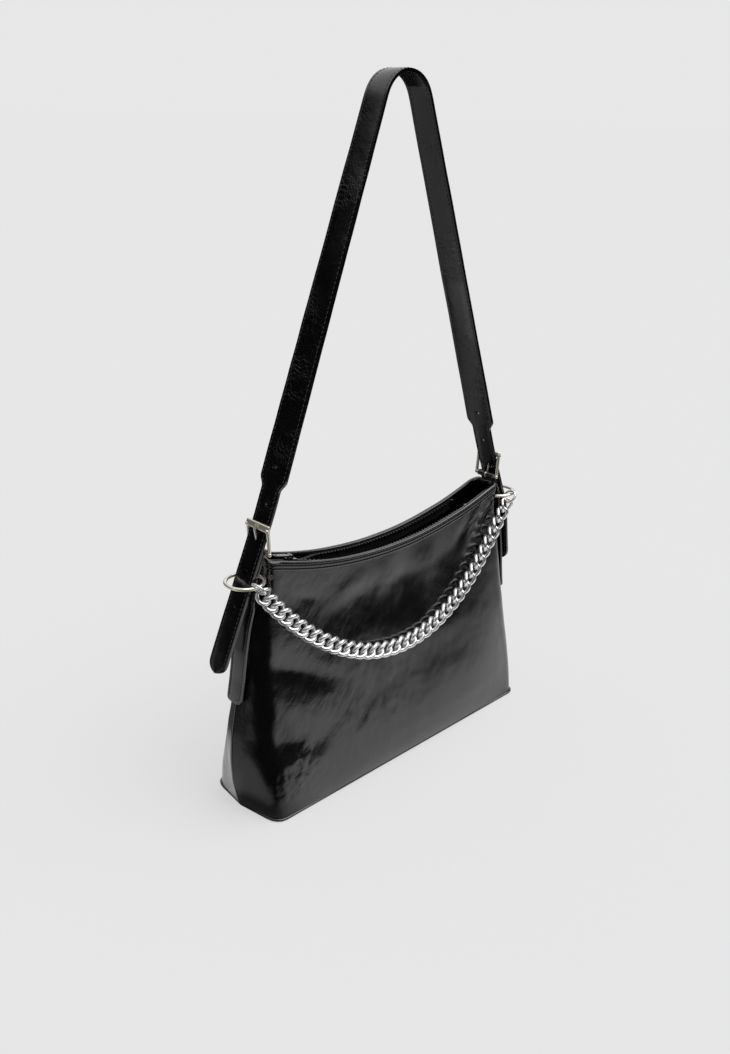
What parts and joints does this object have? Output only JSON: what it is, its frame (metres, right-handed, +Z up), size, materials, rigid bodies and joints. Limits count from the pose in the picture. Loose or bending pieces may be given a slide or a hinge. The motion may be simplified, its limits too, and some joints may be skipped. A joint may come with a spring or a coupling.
{
  "type": "shoulder bag",
  "caption": "Flat trapezoid shoulder bag with a dipped zip mouth, a buckled shoulder strap arching over it and a chain swag hung across the front.",
  "frame": {"origin": "middle of the foot on the ground plane, half way between the ends and between front and back", "axes": "+X to the bag's right-hand end as seen from the front, -Y towards the front with the chain, +Z up"},
  "size_m": [0.3396, 0.0804, 0.524],
  "materials": {
    "leather": "glossy crinkled black leather",
    "lining": "smooth black lining cloth",
    "board": "stiffener board",
    "zip_tape": "woven black tape",
    "zip_teeth": "moulded black",
    "zip_metal": "dark polished metal",
    "gold_metal": "pale warm polished metal",
    "chain_metal": "polished silver-coloured steel"
  },
  "bodies": {
    "bag": {"front_panel": "leather", "back_panel": "leather", "bottom_panel": "leather", "base_board": "board", "lining": "lining", "front_rim_band": "leather", "back_rim_band": "leather", "left_seam_piping": "leather", "right_seam_piping": "leather", "bottom_seam_piping": "leather", "front_zip_tape": "zip_tape", "back_zip_tape": "zip_tape", "front_zip_teeth": "zip_teeth", "back_zip_teeth": "zip_teeth", "zip_stops": "zip_metal", "zip_slider": "zip_metal", "left_tab": "leather", "right_tab": "leather", "mouth_rivets": "gold_metal", "left_buckle_frame": "gold_metal", "right_buckle_frame": "gold_metal", "left_prong": "gold_metal", "right_prong": "gold_metal", "left_strap_end": "leather", "right_strap_end": "leather"},
    "strap": {"strap_arch": "leather"},
    "left_ring": {"left_keeper_ring": "gold_metal"},
    "right_ring": {"right_keeper_ring": "gold_metal"},
    "chain": {"left_chain_ring": "chain_metal", "right_chain_ring": "chain_metal", "chain_links": "chain_metal"},
    "puller": {"zip_puller": "zip_metal"}
  },
  "joints": [
    {"name": "strap_swing", "type": "hinge", "parent": "bag", "child": "strap", "pos_m": [0, 0, 0.234], "axis": [1, 0, 0], "range_deg": [-100, 100]},
    {"name": "left_ring_tilt", "type": "hinge", "parent": "bag", "child": "left_ring", "pos_m": [-0.1422, -0.0019, 0.1875], "axis": [-1, 0, 0], "range_deg": [0, 10]},
    {"name": "right_ring_tilt", "type": "hinge", "parent": "bag", "child": "right_ring", "pos_m": [0.1422, -0.0019, 0.1875], "axis": [-1, 0, 0], "range_deg": [0, 10]},
    {"name": "chain_swing", "type": "hinge", "parent": "left_ring", "child": "chain", "pos_m": [0, -0.0156, 0.1875], "axis": [-1, 0, 0], "range_deg": [0, 85]},
    {"name": "puller_flip", "type": "hinge", "parent": "bag", "child": "puller", "pos_m": [-0.09816, 0, 0.19404], "axis": [0, 1, 0], "range_deg": [0, 160]}
  ],
  "couplings": [
    {"joint": "right_ring_tilt", "follows": "left_ring_tilt", "ratio": 1}
  ]
}
